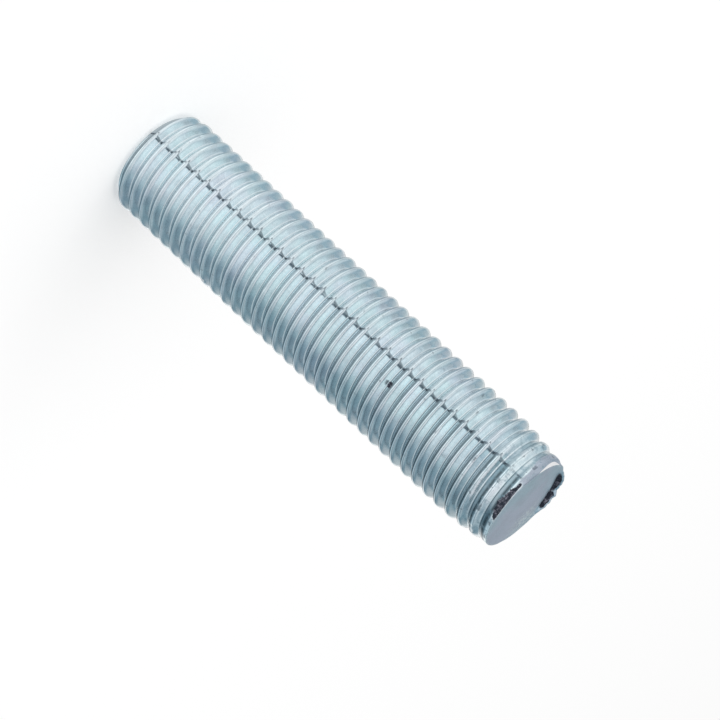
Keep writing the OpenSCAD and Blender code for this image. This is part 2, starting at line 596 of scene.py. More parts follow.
    def torn_wedge(self, a: np.ndarray, z: np.ndarray) -> np.ndarray:
        """Radius of the rough wedge torn from the side of the last turn, next to the face.

        Args:
            a: Angles in degrees.
            z: Heights.

        Returns:
            inner + (crest_r - inner) d / reach, with d the distance below the face. The wedge's
            reach and depth swell from its ends to past its middle. It's far out elsewhere.
        """
        e, s = self.end, self.sizes
        t = (a - e.strip_from) / e.strip_sweep
        inside = np.clip(t, 0.0, 1.0)
        share = e.strip_ends + (1.0 - e.strip_ends) * np.sin(np.pi * inside**e.strip_skew)
        share = share * (1.0 + e.strip_ragged * self.WEDGE_REACH.at(a))
        inner = s.root_r + s.rim_step - e.strip_depth * share
        slope = (s.crest_r - inner) / (e.strip_reach * share)
        beyond = e.strip_clear * np.maximum(np.abs(t - 0.5) - 0.5, 0.0) * e.strip_sweep
        return inner + slope * np.maximum(s.length - z, 0.0) + beyond

    def roll_over(self, r: np.ndarray, a: np.ndarray, z: np.ndarray) -> np.ndarray:
        """Turns the last flank into one slope down to the rim, where the shear pressed it over.

        Args:
            r: Radii of points of the thread.
            a: Their angles in degrees.
            z: Their heights.

        Returns:
            roll_r - roll_slope (z - roll_z), with z up to a groove's floor that rises round the
            rim, and a steeper fall beyond it. Elsewhere the radii stay.
        """
        e, s = self.end, self.sizes
        below = z - s.length
        share = smooth_step(*e.roll_in, a) * (1.0 - smooth_step(*e.roll_out, a))
        share = share * smooth_step(-e.roll_from - e.roll_fade[0], -e.roll_from + e.roll_fade[1], below)
        floor = e.groove_h * smooth_step(e.groove_end, e.groove_full, a)
        slope = e.roll_r - e.roll_slope * (np.minimum(below, -floor) + e.roll_from)
        slope = slope - e.groove_slope * np.maximum(below + floor, 0.0)
        return r + (slope - r) * share

    def smeared(self, a: np.ndarray) -> np.ndarray:
        """Mask of the rim where the shear rolled the metal over, by the angle."""
        e = self.end
        begun = smooth_step(e.smear_from - e.smear_fade_in, e.smear_from, a)
        return begun * smooth_step(e.smear_to + e.smear_fade_out, e.smear_to - e.smear_fade_out, a)

    def xyz(self, r: np.ndarray, a: np.ndarray, z: np.ndarray) -> np.ndarray:
        """Points n by 3 from radius, angle in degrees and height."""
        t = np.radians(a)
        return np.stack([r * np.cos(t), r * np.sin(t), z + 0.0 * r], axis=-1).reshape(-1, 3)

    def tone(self, g: Grid) -> np.ndarray:
        """Painted light and shade on the plating row by row, from PAINTED_SHADING, weaker or darker by
        place.

        Args:
            g: The swept points.

        Returns:
            Factors of painted light and shade for the plating's colour. A share takes a row of painted
            shade towards 1 (calm, soft), or a row towards 0 (sharp, shaded, worn).
        """
        s, t = self.sizes, self.toning
        a, z, row = g["a"], g["z"], g["row"]
        calm = smooth_step(self.lap_deg + t.calm_out[1], self.lap_deg - t.calm_out[0], a)
        calm = calm * smooth_step(*t.calm_in, a)
        soft = smooth_step(t.soft_z[1], t.soft_z[0], z)
        shine = np.array(self.PAINTED_SHADING)[row]
        for share in (t.calm_share * calm, t.soft_share * soft):
            shine = np.where(shine < 1.0, shine + (1.0 - shine) * share, shine)
        sharp = smooth_step(*t.sharp_z, z) * smooth_step(*t.sharp_in, a)
        shaded = smooth_step(*t.shaded_in, a) * (1.0 - smooth_step(*t.shaded_out, a))
        shine = shine * (1.0 - t.sharp_share * sharp * np.isin(row, t.sharp_rows))
        shine = shine * (1.0 - t.shaded_share * shaded * np.isin(row, t.shaded_rows))
        worn = t.worn_share * g["rough"] * (1.0 - t.calm_worn * calm)
        shine = shine * (1.0 - worn * (row < t.worn_rows))
        return np.where(z > s.length - t.bare_rim, np.maximum(shine, 1.0), shine)

    def cut_loop(self, g: Grid) -> tuple[np.ndarray, np.ndarray, np.ndarray, np.ndarray]:
        """The loop where the thread meets the rounded edge of the sheared face.

        Args:
            g: The swept points.

        Returns:
            The points past the cut (true or false), and the loop's heights, radii and torn mask.
            A radius is the straight mix r0 (1 - t) + r1 t of the rows next to the cut.
        """
        a = g["a"][0]
        cut_z = self.sizes.length - self.rim_round(a)
        past = g["z"] > cut_z[None, :]
        last, col = np.argmax(past, axis=0), np.arange(self.columns)
        z0, z1 = g["z"][last - 1, col], g["z"][last, col]
        share = (cut_z - z0) / (z1 - z0)
        r = g["r"][last - 1, col] * (1.0 - share) + g["r"][last, col] * share
        r = self.roll_over(r, a, cut_z)
        wedge = self.torn_wedge(a, cut_z)
        torn = smooth_step(-self.end.strip_edge, self.end.strip_edge, r - wedge)
        floor = wedge + self.end.strip_rough * self.WEDGE_RIM.at(a)
        return past, cut_z, np.minimum(r, floor), torn

    def worn_radii(self, g: Grid, depth: np.ndarray) -> tuple[np.ndarray, np.ndarray]:
        """Radii of the thread with its wear: waves, dents, the pressed flank, the wedge, the chamfer.

        Args:
            g: The swept points.
            depth: Depth of the dents.

        Returns:
            Radii, rows by columns, and the mask of the torn wedge.
        """
        s, e = self.sizes, self.end
        r = g["r"] + self.waviness(g) - depth
        wedge = self.torn_wedge(g["a"], g["z"])
        torn = smooth_step(-e.strip_edge, e.strip_edge, r - wedge)
        rough = self.WEDGE_FLOOR.at(g["a"] * 0.9 + g["row"] * 7.3)
        r = np.minimum(self.roll_over(r, g["a"], g["z"]), wedge + e.strip_rough * rough)
        chamfer = s.crest_r - s.plain_chamfer + g["z"].clip(0.0)
        return np.minimum(np.minimum(r, s.crest_r), chamfer), torn

    def side_masks(self, g: Grid, nicks: np.ndarray, torn: np.ndarray) -> Grid:
        """Masks of the thread's points.

        Args:
            g: The swept points.
            nicks: Mask of the dents.
            torn: Mask of the torn wedge and of the blot.

        Returns:
            The masks by name, each as one row of values.
        """
        e, row = self.end, g["row"]
        more = smooth_step(e.smear_more_from, e.smear_more_full, g["a"])
        low = e.smear_low + e.smear_more * more
        smeared = self.smeared(g["a"]) * smooth_step(-0.1, 0.05, g["z"] - self.sizes.length + low)
        on_lip = (row >= self.LIP_ROWS[0]) & (row <= self.LIP_ROWS[1])
        chips = self.CHIPS.at(g["turn"]) - 2.4 + 1.4 * g["rough"]
        masks = {
            "crest": (row >= self.CREST_ROWS[0]) & (row <= self.CREST_ROWS[1]),
            # Painted light and shade, row by row
            "shine": self.tone(g),
            "smeared": smeared,
            "torn": torn,
            "worn": g["rough"],
            "nicks": np.maximum(nicks, on_lip * np.clip(chips, 0.0, 1.0)),
        }
        return {name: mask.ravel() for name, mask in masks.items()}

    def build_side(self, parts: MeshParts) -> tuple[np.ndarray, np.ndarray, np.ndarray]:
        """Adds the thread between the two cuts, and the loop of points at each cut.

        Args:
            parts: The mesh being gathered.

        Returns:
            Point numbers of the lower and the upper loop, and the upper loop's radii.
        """
        s, n = self.sizes, self.columns
        g = self.swept()
        a = g["a"][0]
        past, cut_z, rim_r, rim_torn = self.cut_loop(g)
        depth, nicks, blot = self.dents(g)
        r, torn = self.worn_radii(g, depth)
        masks = self.side_masks(g, nicks, np.maximum(torn, blot))
        ids = parts.add_points(self.xyz(r, g["a"], g["z"]), **masks).reshape(g["z"].shape)
        low_z = np.full(n, self.plain_cut)
        # The plain end's loop has no painted light or shade; the rim loop gets painted light, a tenth
        # brighter.
        low_ids = parts.add_points(self.xyz(s.crest_r - s.plain_chamfer + low_z, a, low_z), shine=1.0)
        high_ids = parts.add_points(
            self.xyz(rim_r, a, cut_z), shine=1.1, smeared=self.smeared(a), worn=1.0, torn=rim_torn
        )
        ids = np.where(g["z"] < self.plain_cut, low_ids, np.where(past, high_ids, ids))
        ids_next = np.concatenate([ids[:, 1:], np.roll(ids, -self.ROWS, axis=0)[:, :1]], axis=1)
        whole = len(ids) - self.ROWS
        loops = (ids[: whole - 1], ids_next[: whole - 1], ids_next[1:whole], ids[1:whole])
        corners = np.stack(loops, axis=-1)
        round_turn = 2.0 * math.pi * (s.crest_r + s.root_r) / 2.0
        section = np.concatenate([[0.0], np.cumsum(self.section_steps())])
        row = g["row"][: whole - 1]
        u0, v0, v1 = g["turn"][: whole - 1] * round_turn, section[row], section[row + 1]
        u1 = u0 + round_turn / n
        places = [np.stack(place, axis=-1) for place in ((u0, v0), (u1, v0), (u1, v1), (u0, v1))]
        parts.add_faces(corners.reshape(-1, 4), np.stack(places, axis=2).reshape(-1, 4, 2), Finish.ZINC)
        return low_ids, high_ids, rim_r

    def section_steps(self) -> np.ndarray:
        """Distances between the rows of a whole section, in millimetres."""
        s = self.sizes
        flank = (s.crest_r - s.root_r) / math.cos(math.radians(s.flank_deg)) - 0.14
        arc = s.root_round * math.radians(60.0) / 2.0
        shares = np.diff(np.array(self.CREST_SHARES)) * s.crest_w / 2.0
        return np.concatenate([[arc, arc], [flank / 3.0] * 3, shares, [flank / 3.0] * 3, [arc, arc]])

    def rim_round(self, a: np.ndarray) -> np.ndarray:
        """Radius of the rounded edge round the sheared face, larger where the metal rolled over."""
        e = self.end
        rolled = bell(angle_gap(a, e.rolled_deg), e.rolled_width)
        return e.rim_round + (e.rolled_round - e.rim_round) * rolled

    def burr_share(self, a: np.ndarray) -> np.ndarray:
        """Ragged height of the burr, 0 to 1: sin^0.5 along its run, seeded raggedness, one notch."""
        e = self.end
        t = np.clip((a - e.burr_from) / (e.burr_to - e.burr_from), 0.0, 1.0)
        notch = e.notch_depth * bell(angle_gap(a, e.notch_deg), e.notch_width)
        ragged = e.burr_mean + e.burr_ragged * self.BURR_TOP.at(a) - notch
        return np.sqrt(np.sin(np.pi * t)) * ragged * smooth_step(e.burr_from, e.burr_full, a)

    def build_sheared_end(self, parts: MeshParts, rim: np.ndarray, rim_r: np.ndarray) -> None:
        """Closes the sheared end with rings: rounded edge, burr, torn hollow and face.

        Args:
            parts: The mesh being gathered.
            rim: Point numbers of the thread's upper loop.
            rim_r: Radii of that loop.
        """
        s, e, n = self.sizes, self.end, self.columns
        a = 360.0 * np.arange(n) / n
        edge_r = self.rim_round(a)
        burr = self.burr_share(a)
        has = np.clip(burr * 3.0, 0.0, 1.0)
        flecks = bell(angle_gap(a, e.fleck_deg), e.fleck_width)
        rings, radii = [rim], [rim_r]
        for j, (inset, lift) in enumerate(zip(self.INSETS, self.LIFTS)):
            on_face = j >= len(self.ROUND_DEGS)
            t = math.radians(self.ROUND_DEGS[min(j, 2)])
            rounded = rim_r - edge_r * (1.0 - math.cos(t)) - inset
            proud = rim_r + e.burr_flare * lift * burr - inset
            r = rounded + (proud - rounded) * has * (1.0 if j < self.BURR_RINGS else 0.3)
            z = s.length - edge_r * (1.0 - math.sin(t)) * (1.0 - has) + e.burr_h * burr * lift
            torn = np.zeros(n)
            if on_face:
                grain = self.FACE_GRAIN[j].at(a)
                hollow = bell(angle_gap(a, e.tear_deg), e.tear_width) * bell(r - e.tear_r, e.tear_half)
                z = z - hollow * e.tear_depth * (1.0 + e.tear_grain * grain) * (1.0 - lift)
                r = r + 0.05 * grain * hollow
                # The hollow's lobes join the torn mask as painted shade.
                torn = self.hollow_shade_lobes(a, r) * (j > len(self.ROUND_DEGS))
            worn = np.where(has > 0.1, 1.0, 0.6) * (j <= len(self.ROUND_DEGS))
            worn = np.maximum(worn, flecks * (j < self.FLECK_RINGS))
            # Painted highlight on the burr's lip, added to the painted light and shade
            shine = 1.0 + e.lip_highlight * has * (j in self.LIP_RINGS)
            masks = {"shine": shine, "smeared": self.smeared(a), "torn": torn, "worn": worn}
            rings.append(parts.add_points(self.xyz(r, a, z), **masks))
            radii.append(r)
        middle = parts.add_points(np.array([[0.0, 0.0, s.length]]))
        rings.append(np.full(n, middle[0]))
        radii.append(np.zeros(n))
        self.add_rings(parts, rings, radii, a, True)

    def hollow_shade_lobes(self, a: np.ndarray, r: np.ndarray) -> np.ndarray:
        """Mask of the painted shade in the torn hollow's two lobes, each a bell by angle times one by
        radius.
        """
        e = self.end
        upper = bell(angle_gap(a, e.upper_deg), e.upper_width) * bell(r - e.tear_r, e.tear_half)
        lower = bell(angle_gap(a, e.lower_deg), e.lower_width) * bell(r - e.lower_r, e.lower_half)
        return np.clip(np.maximum(upper, lower) * e.lobe_gain, 0.0, 1.0)

    def build_plain_end(self, parts: MeshParts, rim: np.ndarray) -> None:
        """Closes the plain end with a flat sawn face.

        Args:
            parts: The mesh being gathered.
            rim: Point numbers of the thread's lower loop.
        """
        n = self.columns
        a = 360.0 * np.arange(n) / n
        plain_r = self.sizes.crest_r - self.sizes.plain_chamfer
        rings, radii = [rim], [np.full(n, plain_r + self.plain_cut)]
        edge = [(plain_r + step, z) for step, z in self.PLAIN_EDGE]
        for r, z in edge + [(r, 0.0) for r in self.PLAIN_RINGS]:
            radii.append(np.full(n, r))
            rings.append(parts.add_points(self.xyz(radii[-1], a, np.full(n, z))))
        middle = parts.add_points(np.zeros((1, 3)))
        rings.append(np.full(n, middle[0]))
        radii.append(np.zeros(n))
        self.add_rings(parts, rings, radii, a, False)

    def add_rings(
        self, parts: MeshParts, rings: list[np.ndarray], radii: list[np.ndarray], a: np.ndarray, up: bool
    ) -> None:
        """Joins rings of points from the rim inwards.

        Args:
            parts: The mesh being gathered.
            rings: Point numbers, ring by ring.
            radii: Radii of the rings, for the uv map.
            a: Angles of the columns in degrees.
            up: True where the faces look up, False where they look down.
        """
        flat_uv = [self.xyz(r, a, np.zeros(len(a)))[:, :2] + np.array(self.FACE_UV) for r in radii]
        order = (0, 1, 2, 3) if up else (1, 0, 3, 2)
        for i in range(len(rings) - 1):
            ids, uvs = (
                (outer, np.roll(outer, -1, 0), np.roll(inner, -1, 0), inner)
                for outer, inner in (rings[i : i + 2], flat_uv[i : i + 2])
            )
            corners = np.stack([ids[k] for k in order], axis=-1)
            uv = np.stack([uvs[k] for k in order], axis=1)
            parts.add_faces(corners, uv, Finish.SHEARED if i >= len(self.ROUND_DEGS) else Finish.ZINC)

    def build(self) -> bpy.types.Object:
        """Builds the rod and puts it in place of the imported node.

        Returns:
            The rod's object, at the origin, riding on the root body.
        """
        parts = MeshParts()
        low, high, rim_r = self.build_side(parts)
        self.build_sheared_end(parts, high, rim_r)
        self.build_plain_end(parts, low)
        mesh = parts.mesh("rod_surface")
        rod = bpy.data.objects.new("plated_rod", mesh)
        bpy.context.scene.collection.objects.link(rod)
        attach(rod, "root")
        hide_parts("threaded_rod")
        LOG.info("%s: %d points, %d faces", rod.name, len(mesh.vertices), len(mesh.polygons))
        return rod


class NodeBoard:
    """Places and links shader nodes on one node tree."""

    def __init__(self, tree: bpy.types.NodeTree) -> None:
        """Keeps the tree.

        Args:
            tree: Node tree of a material or a group.
        """
        self.tree = tree
        self.made = 0

    def add(self, kind: str, **settings: object) -> bpy.types.Node:
        """Adds a node and sets its properties.

        Args:
            kind: Blender's name of the node's type.
            settings: Properties of the node.

        Returns:
            The node.
        """
        node = self.tree.nodes.new(kind)
        node.location = (220 * (self.made % 8), -260 * (self.made // 8))
        self.made += 1
        for name, value in settings.items():
            setattr(node, name, value)
        return node

    def feed(self, node: bpy.types.Node, socket: object, value: object) -> None:
        """Sets an input to a plain value, or links it to an output.

        Args:
            node: Node whose input is fed.
            socket: Name or number of the input.
            value: A number, a colour or an output socket.
        """
        if isinstance(value, Socket):
            self.tree.links.new(value, node.inputs[socket])
        else:
            node.inputs[socket].default_value = value

    def math(self, operation: str, a: object, b: object = 0.0, clamp: bool = False) -> Socket:
        """Arithmetic on two values.

        Args:
            operation: Blender's name of the operation.
            a: First value or output.
            b: Second value or output.
            clamp: True to keep the result between 0 and 1.

        Returns:
            The result's output.
        """
        node = self.add("ShaderNodeMath", operation=operation, use_clamp=clamp)
        self.feed(node, 0, a)
        self.feed(node, 1, b)
        return node.outputs[0]

    def times(self, a: object, b: object) -> Socket:
        """Product of two values."""
        return self.math("MULTIPLY", a, b)

    def ease(
        self, value: object, low: object, high: object, to_low: float = 0.0, to_high: float = 1.0
    ) -> Socket:
        """Smooth-stepped change of range.

        Args:
            value: Value or output to change.
            low: Where the change starts.
            high: Where it ends.
            to_low: Result at the start.
            to_high: Result at the end.

        Returns:
            The result's output.
        """
        node = self.add("ShaderNodeMapRange", interpolation_type="SMOOTHSTEP")
        for i, x in enumerate((value, low, high, to_low, to_high)):
            self.feed(node, i, x)
        return node.outputs[0]

    def mix(self, share: object, a: object, b: object, blend: str = "MIX") -> Socket:
        """Mixes two colours.

        Args:
            share: Share of the second colour.
            a: First colour or output.
            b: Second colour or output.
            blend: Blender's name of the way to mix.

        Returns:
            The mixed colour's output.
        """
        node = self.add("ShaderNodeMix", data_type="RGBA", blend_type=blend)
        self.feed(node, 0, share)
        self.feed(node, 6, a)
        self.feed(node, 7, b)
        return node.outputs[2]

    def dim(self, colour: object, value: object) -> Socket:
        """A colour multiplied by a value."""
        return self.mix(1.0, colour, self.grey(value), "MULTIPLY")

    def noise(
        self, place: object, scale: float, detail: float = 2.0, roughness: float = 0.5
    ) -> Socket:
        """Value of three-dimensional noise at a place.

        Args:
            place: Vector output.
            scale: Cells for each unit of the place.
            detail: Octaves.
            roughness: Weight of the finer octaves.

        Returns:
            The value's output.
        """
        node = self.add("ShaderNodeTexNoise")
        self.feed(node, "Vector", place)
        self.feed(node, "Scale", scale)
        self.feed(node, "Detail", detail)
        self.feed(node, "Roughness", roughness)
        return node.outputs[0]

    def group(self, effect: "SurfaceEffects", colour: object, place: object, mask: object = 0.0) -> tuple:
        """Adds a shared effect.

        Args:
            effect: Which one.
            colour: Colour under it.
            place: Place on the object.
            mask: Where it's seen, from 0 to 1.

        Returns:
            Outputs of the changed colour and of the mask as drawn.
        """
        node = self.add("ShaderNodeGroup", node_tree=effect.tree())
        for i, x in enumerate((colour, place, mask)):
            self.feed(node, i, x)
        return node.outputs[0], node.outputs[1]

    def grey(self, value: object) -> Socket:
        """A grey colour of a value."""
        node = self.add("ShaderNodeCombineColor")
        for i in range(3):
            self.feed(node, i, value)
        return node.outputs[0]

    def attribute(self, name: str) -> Socket:
        """A mask kept on the mesh."""
        return self.add("ShaderNodeAttribute", attribute_name=name).outputs["Fac"]

    def parts(self, place: object) -> tuple:
        """The x, y and z of a place."""
        node = self.add("ShaderNodeSeparateXYZ")
        self.feed(node, 0, place)
        return tuple(node.outputs)

    def bump(self, shader: bpy.types.Node, height: object, strength: float, distance: float) -> None:
        """Feeds a shader's normal with a bump of a height."""
        node = self.add("ShaderNodeBump")
        for name, value in (("Strength", strength), ("Distance", distance), ("Height", height)):
            self.feed(node, name, value)
        self.feed(shader, "Normal", node.outputs[0])

    def seen(self) -> Socket:
        """1 for what the camera, reflections and glass see, 0 for the light on other surfaces."""
        rays = self.add("ShaderNodeLightPath").outputs
        seen = self.math("MAXIMUM", rays["Is Camera Ray"], rays["Is Glossy Ray"])
        return self.math("MAXIMUM", seen, rays["Is Transmission Ray"])

    def stretched(self, place: object, scale: tuple[float, float, float]) -> Socket:
        """A place with each direction multiplied by its own factor."""
        node = self.add("ShaderNodeMapping")
        self.feed(node, "Vector", place)
        self.feed(node, "Scale", scale)
        return node.outputs[0]


def rgba(r: float, g: float, b: float) -> tuple[float, float, float, float]:
    """An opaque colour in linear light."""
    return (r, g, b, 1.0)


def new_material(name: str) -> tuple[bpy.types.Material, NodeBoard]:
    """A new material with nodes, and a board for them."""
    made = bpy.data.materials.new(name)
    made.use_nodes = True
    return made, NodeBoard(made.node_tree)


class SurfaceEffects(Enum):
    """Effects that both finishes share, each a shader node group."""

    MOTTLE = "cloudy_mottle"
    TORN = "torn_metal"

    def tree(self) -> bpy.types.NodeTree:
        """The effect's node group, built when it's first asked for."""
        made = bpy.data.node_groups.get(self.value)
        if made:
            return made
        made = bpy.data.node_groups.new(self.value, "ShaderNodeTree")
        for name, kind in (("Color", "Color"), ("Place", "Vector"), ("Mask", "Float")):
            made.interface.new_socket(name, in_out="INPUT", socket_type="NodeSocket" + kind)
        for name, kind in (("Color", "Color"), ("Mask", "Float")):
            made.interface.new_socket(name, in_out="OUTPUT", socket_type="NodeSocket" + kind)
        b = NodeBoard(made)
        colour, place, mask = b.add("NodeGroupInput").outputs[:3]
        draw = self.mottle if self is SurfaceEffects.MOTTLE else self.torn
        colour, mask = draw(b, colour, place, mask)
        out = b.add("NodeGroupOutput")
        b.feed(out, 0, colour)
        b.feed(out, 1, mask)
        return made

    def mottle(self, b: NodeBoard, colour: object, place: object, mask: object) -> tuple:
        """Cloudy patches about two millimetres wide, and a fine grain."""
        cloud = b.ease(b.noise(place, 520.0, 3.0, 0.6), 0.34, 0.62, 0.94, 1.02)
        grain = b.ease(b.noise(place, 4600.0, 1.0), 0.3, 0.7, 0.95, 1.03)
        return b.dim(colour, b.times(cloud, grain)), mask

    def torn(self, b: NodeBoard, colour: object, place: object, mask: object) -> tuple:
        """Near-black torn metal, and painted shade in the torn hollow, with ragged edges and paler flecks,
        where the mask is high.
        """
        rough = b.noise(place, 2300.0, 3.0, 0.65)
        ragged = b.times(mask, b.math("ADD", b.times(rough, 0.9), 0.55))
        ragged = b.ease(ragged, 0.3, 0.62)
        fleck = b.ease(b.noise(place, 1700.0, 6.0, 0.75), 0.5, 0.62, 0.0, 0.7)
        dark = b.mix(fleck, rgba(0.04, 0.045, 0.06), rgba(0.33, 0.31, 0.36))
        return b.mix(ragged, colour, dark), ragged


@dataclass(frozen=True)
class ZincPlate:
    """Bright blue-clear zinc over rolled steel. Lengths are in metres, and the seams' in uv."""

    colour: tuple = rgba(0.80, 0.857, 0.88)
    teal: tuple = rgba(0.75, 0.85, 0.86)
    lilac: tuple = rgba(0.82, 0.84, 0.89)
    smear: tuple = rgba(0.50, 0.54, 0.61)
    dirt: tuple = rgba(0.10, 0.13, 0.16)
    painted_glint: tuple = rgba(0.97, 0.97, 0.98)
    shade: tuple = rgba(0.72, 0.96, 1.1)
    smudge: tuple = rgba(0.24, 0.36, 0.42)
    smudged: float = 0.5
    nicked: float = 0.62
    roughness: float = 0.17
    dirty_roughness: float = 0.45
    top: float = 0.07
    # Painted glint: its height and its run of angles
    glint_h: float = 0.00042
    glint_in: tuple = (-121.0, -156.0)
    glint_out: tuple = (-174.0, -158.0)
    lap_deg: float = -106.5
    lap_r_mm: float = 7.5
    crest_v: float = 1.406
    seam_v: float = 1.76

    def material(self) -> bpy.types.Material:
        """Builds the plated thread's material.

        Returns:
            Metal with painted light and shade by row, a faint mottle, fine rolling lines, dark seams,
            smudges, nicks, torn metal and one painted glint, white and not metal.
        """
        made, b = new_material("zinc_plate")
        shader = made.node_tree.nodes["Principled BSDF"]
        spot = b.add("ShaderNodeTexCoord").outputs["Object"]
        uv = b.add("ShaderNodeUVMap", uv_map="unrolled_mm").outputs[0]
        worn, smeared = b.attribute("worn"), b.attribute("smeared")
        lines = b.noise(b.stretched(uv, (0.12, 14.0, 1.0)), 1.0, 3.0, 0.6)
        colour = b.mix(smeared, self.plating(b, spot), self.smear)
        colour = b.dim(colour, b.ease(lines, 0.3, 0.7, 0.93, 1.03))
        smudge = b.ease(b.noise(spot, 1100.0, 5.0, 0.7), 0.5, 0.62)
        colour = b.mix(b.times(smudge, b.times(worn, self.smudged)), colour, self.smudge)
        lap = b.times(self.lap(b, spot, uv), b.math("SUBTRACT", 1.0, smeared, True))
        dark = b.math("MAXIMUM", self.specks(b, uv, worn), lap, True)
        dark = b.math("MAXIMUM", dark, self.nicks(b, spot), True)
        colour = b.mix(dark, colour, self.dirt)
        colour = b.group(SurfaceEffects.MOTTLE, colour, spot)[0]
        colour, torn = b.group(SurfaceEffects.TORN, colour, spot, b.attribute("torn"))
        dull = b.math("MAXIMUM", b.math("MAXIMUM", dark, torn, True), smeared)
        # Painted glint: white and not metal where its mask is high
        glint = self.glint(b, spot)
        b.feed(shader, "Base Color", b.mix(glint, colour, self.painted_glint))
        b.feed(shader, "Metallic", b.math("SUBTRACT", 1.0, glint))
        b.feed(shader, "Roughness", b.ease(dull, 0.0, 1.0, self.roughness, self.dirty_roughness))
        b.bump(shader, lines, 0.25, 0.00002)
        return made

    def plating(self, b: NodeBoard, spot: Socket) -> Socket:
        """Zinc with teal and lilac patches, times the row's painted light and shade, bluer where the
        painted shade is dark.
        """
        patch = b.ease(b.noise(spot, 260.0, 3.0), 0.38, 0.62)
        colour = b.mix(b.times(patch, 0.7), self.colour, self.teal)
        patch = b.ease(b.noise(spot, 150.0, 2.0), 0.5, 0.68)
        colour = b.mix(b.times(patch, 0.6), colour, self.lilac)
        # Painted light and shade kept on the mesh row by row; the painted shade turns bluer
        shine = b.attribute("shine")
        tint = b.mix(b.math("MINIMUM", shine, 1.0), self.shade, rgba(1.0, 1.0, 1.0))
        return b.mix(1.0, b.dim(colour, shine), tint, "MULTIPLY")

    def specks(self, b: NodeBoard, uv: Socket, worn: object) -> Socket:
        """Mask of fine dark specks, denser on the crests and darker where the thread is worn."""
        speck = b.noise(b.stretched(uv, (1.6, 3.4, 1.0)), 1.0, 3.0, 0.65)
        speck = b.math("ADD", speck, b.times(b.attribute("crest"), 0.05))
        return b.times(b.ease(speck, 0.7, 0.76), b.math("ADD", b.times(worn, 0.5), 0.5))

    def nicks(self, b: NodeBoard, spot: Socket) -> Socket:
        """Mask of the nicks, with edges roughened by noise."""
        rough = b.math("ADD", b.times(b.noise(spot, 4300.0, 3.0, 0.65), 2.6), -0.5)
        return b.ease(b.times(b.attribute("nicks"), rough), 0.2, 0.8, 0.0, self.nicked)

    def glint(self, b: NodeBoard, spot: Socket) -> Socket:
        """Mask of the painted glint, a white sliver beside the face, widest at one end.

        Args:
            b: The board.
            spot: Place on the rod.

        Returns:
            1 where z is above the face's height less the sliver's own height at that angle.
        """
        x, y, z = b.parts(spot)
        angle = b.math("ARCTAN2", y, x)
        begun, ended = (b.ease(angle, *map(math.radians, run)) for run in (self.glint_in, self.glint_out))
        high = b.times(begun, ended)
        low = b.math("SUBTRACT", self.top, b.times(high, self.glint_h))
        mask = b.ease(b.math("SUBTRACT", z, low), -0.00002, 0.00006)
        return b.times(mask, b.ease(high, 0.02, 0.16))

    def lap(self, b: NodeBoard, spot: Socket, uv: Socket) -> Socket:
        """Mask of the dark lap line that runs down the rod, broken and hooked at each crest.

        Args:
            b: The board.
            spot: Place on the rod.
            uv: Place on the unrolled thread, across which the hooks are set.

        Returns:
            1 on the line and 0 off it, by the arc from its angle, r (angle - lap angle).
        """
        x, y, _ = b.parts(spot)
        gap = b.math("SUBTRACT", b.math("ARCTAN2", y, x), math.radians(self.lap_deg))
        down = b.stretched(spot, (0.0, 0.0, 1.0))
        wave = b.math("SUBTRACT", b.noise(down, 700.0, 2.0, 0.6), 0.5)
        arc = b.math("ADD", b.times(gap, self.lap_r_mm), b.times(wave, 0.3))
        v = b.parts(uv)[1]
        hook = b.ease(v, self.seam_v - 0.05, self.seam_v)
        hook = b.times(hook, b.ease(v, self.seam_v + 0.3, self.seam_v + 0.06))
        arc = b.math("ADD", arc, b.times(hook, 0.42))
        width = b.ease(b.noise(down, 1100.0, 3.0), 0.35, 0.65, 0.13, 0.34)
        line = b.ease(b.math("DIVIDE", b.math("ABSOLUTE", arc), width), 0.4, 1.0, 1.0, 0.0)
        line = b.times(line, b.ease(v, self.crest_v - 0.2, self.crest_v, 0.95, 0.6))
        return b.times(line, b.ease(b.noise(down, 420.0, 2.0), 0.36, 0.46, 0.4, 1.0))


@dataclass(frozen=True)
class ShearedSteel:
    """Zinc over the smeared metal of the sheared face."""

    colour: tuple = rgba(0.56, 0.71, 0.79)
    lilac: tuple = rgba(0.65, 0.70, 0.81)
    fleck: tuple = rgba(0.88, 0.96, 0.98)
    roughness: float = 0.32
    torn_roughness: float = 0.6

    def material(self) -> bpy.types.Material:
        """Builds the sheared face's material.

        Returns:
            Duller metal with bright flecks, and near-black painted shade in the torn hollow.
        """
        made, b = new_material("sheared_steel")
        shader = made.node_tree.nodes["Principled BSDF"]
        spot = b.add("ShaderNodeTexCoord").outputs["Object"]
        colour = b.mix(b.ease(b.noise(spot, 120.0, 3.0), 0.4, 0.65), self.colour, self.lilac)
        fleck = b.times(b.attribute("worn"), b.ease(b.noise(spot, 2400.0, 3.0, 0.6), 0.46, 0.56))
        colour = b.mix(fleck, colour, self.fleck)
        colour = b.group(SurfaceEffects.MOTTLE, colour, spot)[0]
        # On the face the torn mask is the painted shade in the hollow's lobes.
        colour, torn = b.group(SurfaceEffects.TORN, colour, spot, b.attribute("torn"))
        b.feed(shader, "Base Color", colour)
        shader.inputs["Metallic"].default_value = 1.0
        b.feed(shader, "Roughness", b.ease(torn, 0.0, 1.0, self.roughness, self.torn_roughness))
        b.bump(shader, b.noise(spot, 2600.0, 4.0, 0.6), 0.3, 0.00003)
        return made


